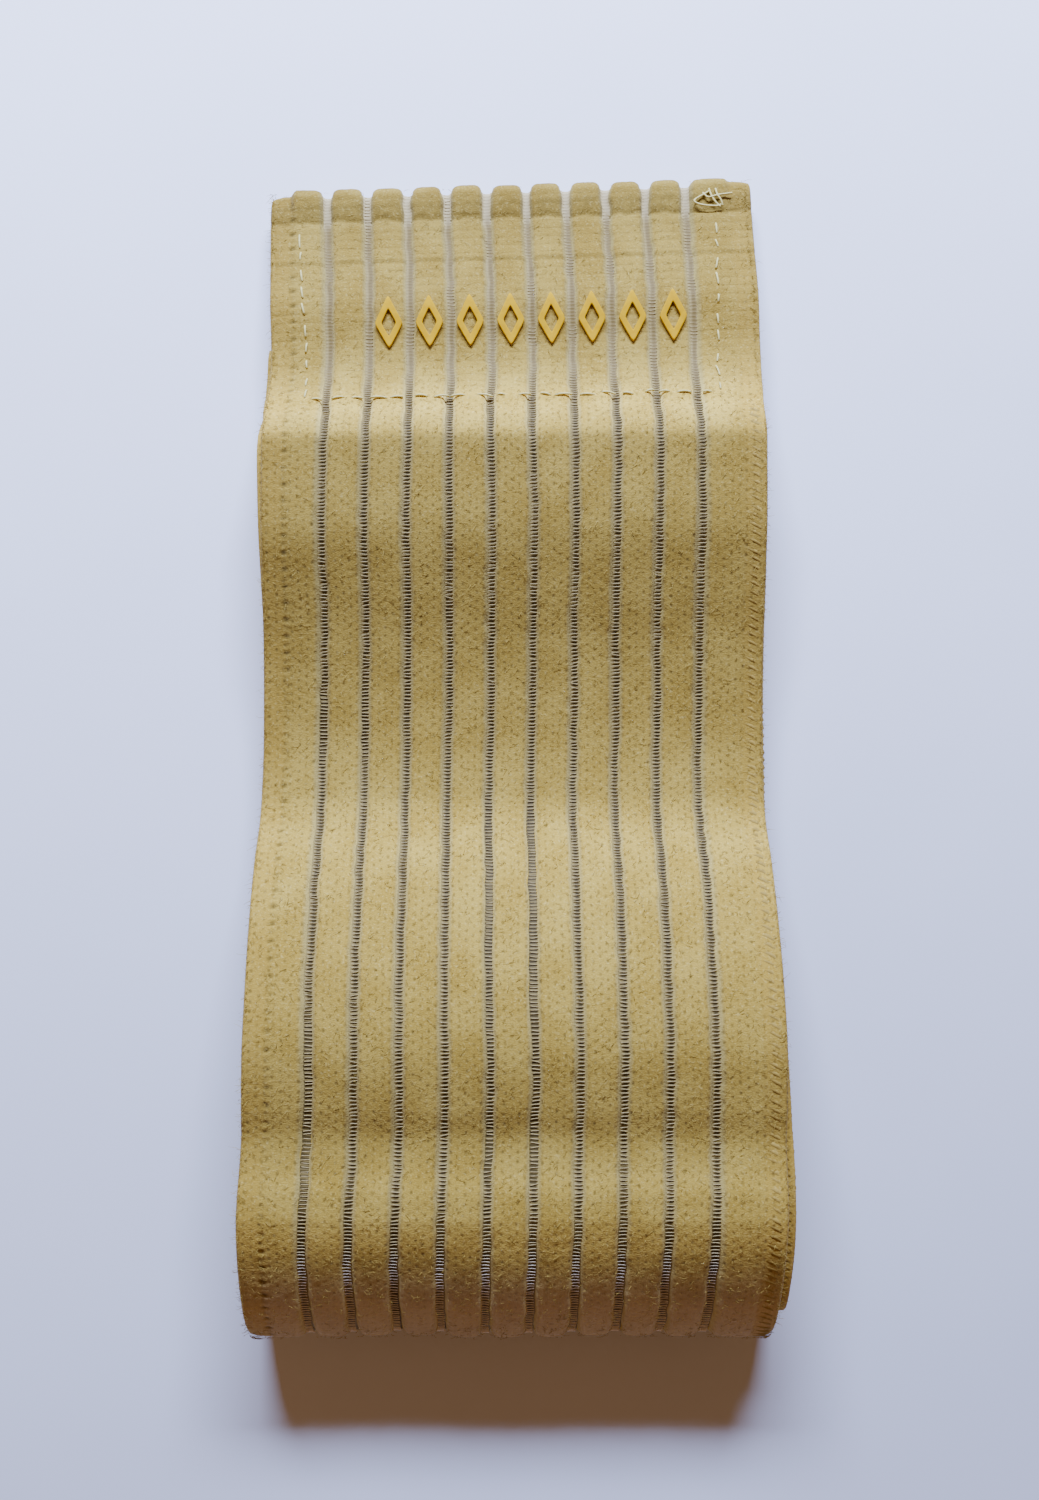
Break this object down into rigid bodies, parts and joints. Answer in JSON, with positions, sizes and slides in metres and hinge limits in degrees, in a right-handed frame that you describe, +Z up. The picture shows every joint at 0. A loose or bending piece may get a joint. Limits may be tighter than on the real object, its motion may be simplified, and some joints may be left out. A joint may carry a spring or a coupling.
{
  "type": "compression bandage",
  "caption": "Ribbed elastic compression bandage rolled flat into a long bundle, with a hemmed loose end, a hook patch under it and raised marks on its ribs.",
  "frame": {"origin": "middle of the bundle's outline, on the surface that it lies on", "axes": "+X across the band to its right edge, +Y along the bundle towards the hemmed loose end, +Z up"},
  "size_m": [0.0836, 0.1892, 0.0244],
  "materials": {
    "elastic_knit": "matt ribbed beige knit with sheer channels between the ribs",
    "hook_tape": "stiff off-white hook tape",
    "raised_print": "satin yellow rubbery print"
  },
  "bodies": {
    "root": {"elastic_band": "elastic_knit", "hook_patch": "hook_tape", "print_mark_1": "raised_print", "print_mark_2": "raised_print", "print_mark_3": "raised_print", "print_mark_4": "raised_print", "print_mark_5": "raised_print", "print_mark_6": "raised_print", "print_mark_7": "raised_print", "print_mark_8": "raised_print"}
  },
  "joints": []
}
